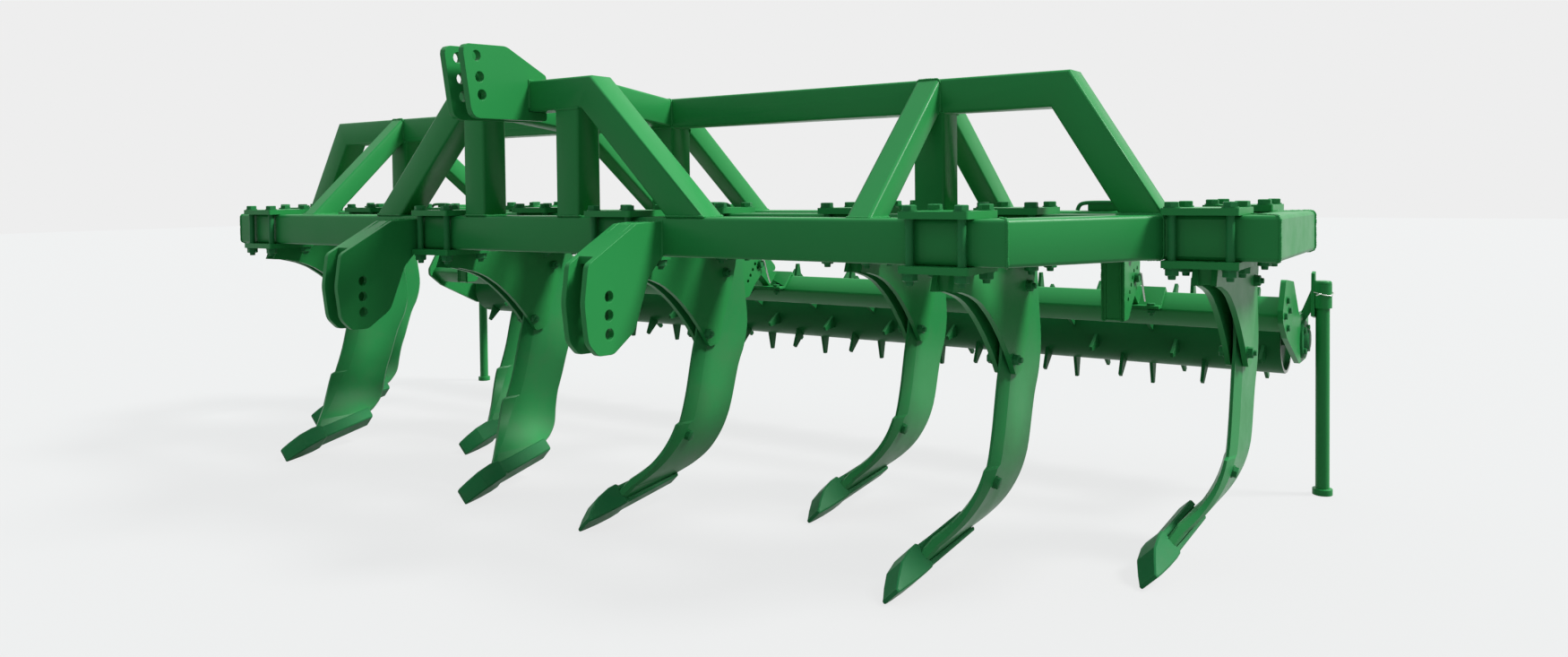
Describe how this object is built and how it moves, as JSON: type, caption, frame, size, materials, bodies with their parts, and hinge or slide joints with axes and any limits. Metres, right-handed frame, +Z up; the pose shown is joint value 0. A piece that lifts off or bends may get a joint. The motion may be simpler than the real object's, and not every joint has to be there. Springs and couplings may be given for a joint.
{
  "type": "subsoiler",
  "caption": "Mounted subsoiler: three-beam frame with hitch mast and truss, side-bent legs in two rows, spiked rear roller and parking stands",
  "frame": {"origin": "middle of the footprint on the ground", "axes": "+X across the working width, to the right as the tractor's driver looks back at it, -Y towards the tractor, +Z up"},
  "size_m": [3.786, 1.8151, 1.3067],
  "materials": {
    "frame_paint": "gloss",
    "share_paint": "gloss",
    "drum_paint": "satin",
    "stand_paint": "satin"
  },
  "bodies": {
    "main_frame": {"front_beam": "frame_paint", "front_brace_left": "frame_paint", "front_brace_right": "frame_paint", "holder_front_inner_left": "frame_paint", "holder_front_inner_right": "frame_paint", "holder_front_outer_left": "frame_paint", "holder_front_outer_right": "frame_paint", "holder_rear_inner_left": "frame_paint", "holder_rear_inner_right": "frame_paint", "holder_rear_outer_left": "frame_paint", "holder_rear_outer_right": "frame_paint", "leg_front_inner_left": "frame_paint", "leg_front_inner_right": "frame_paint", "leg_front_outer_left": "frame_paint", "leg_front_outer_right": "frame_paint", "leg_rear_inner_left": "frame_paint", "leg_rear_inner_right": "frame_paint", "leg_rear_outer_left": "frame_paint", "leg_rear_outer_right": "frame_paint", "lower_link_fork_left": "frame_paint", "lower_link_fork_right": "frame_paint", "mast": "frame_paint", "middle_beam": "frame_paint", "rear_beam": "frame_paint", "rear_brace_inner_left": "frame_paint", "rear_brace_inner_right": "frame_paint", "rear_brace_outer_left": "frame_paint", "rear_brace_outer_right": "frame_paint", "rear_side_tube_left": "frame_paint", "rear_side_tube_right": "frame_paint", "roller_bracket_centre": "frame_paint", "roller_bracket_left": "frame_paint", "roller_bracket_right": "frame_paint", "share_front_inner_left": "share_paint", "share_front_inner_right": "share_paint", "share_front_outer_left": "share_paint", "share_front_outer_right": "share_paint", "share_rear_inner_left": "share_paint", "share_rear_inner_right": "share_paint", "share_rear_outer_left": "share_paint", "share_rear_outer_right": "share_paint", "side_tube_left": "frame_paint", "side_tube_right": "frame_paint", "strut_left": "frame_paint", "strut_right": "frame_paint", "top_link_plate_left": "frame_paint", "top_link_plate_right": "frame_paint", "truss": "frame_paint"},
    "roller_frame": {"carrier_tube": "frame_paint", "roller_arm_centre": "frame_paint", "roller_arm_left": "frame_paint", "roller_arm_right": "frame_paint", "roller_end_left": "frame_paint", "roller_end_right": "frame_paint"},
    "roller": {"roller_drum": "drum_paint"},
    "stand_left": {"stand_leg_left": "stand_paint"},
    "stand_right": {"stand_leg_right": "stand_paint"}
  },
  "joints": [
    {"name": "roller_height", "type": "hinge", "parent": "main_frame", "child": "roller_frame", "pos_m": [0, 0.31, 0.71512], "axis": [1, 0, 0], "range_deg": [-14, 14]},
    {"name": "roller_spin", "type": "hinge", "parent": "roller_frame", "child": "roller", "pos_m": [0, 0.755, 0.45612], "axis": [1, 0, 0], "continuous": true},
    {"name": "stand_slide_left", "type": "slide", "parent": "roller_frame", "child": "stand_left", "axis": [0, 0, 1], "range_m": [0, 0.3]},
    {"name": "stand_slide_right", "type": "slide", "parent": "roller_frame", "child": "stand_right", "axis": [0, 0, 1], "range_m": [0, 0.3]}
  ]
}
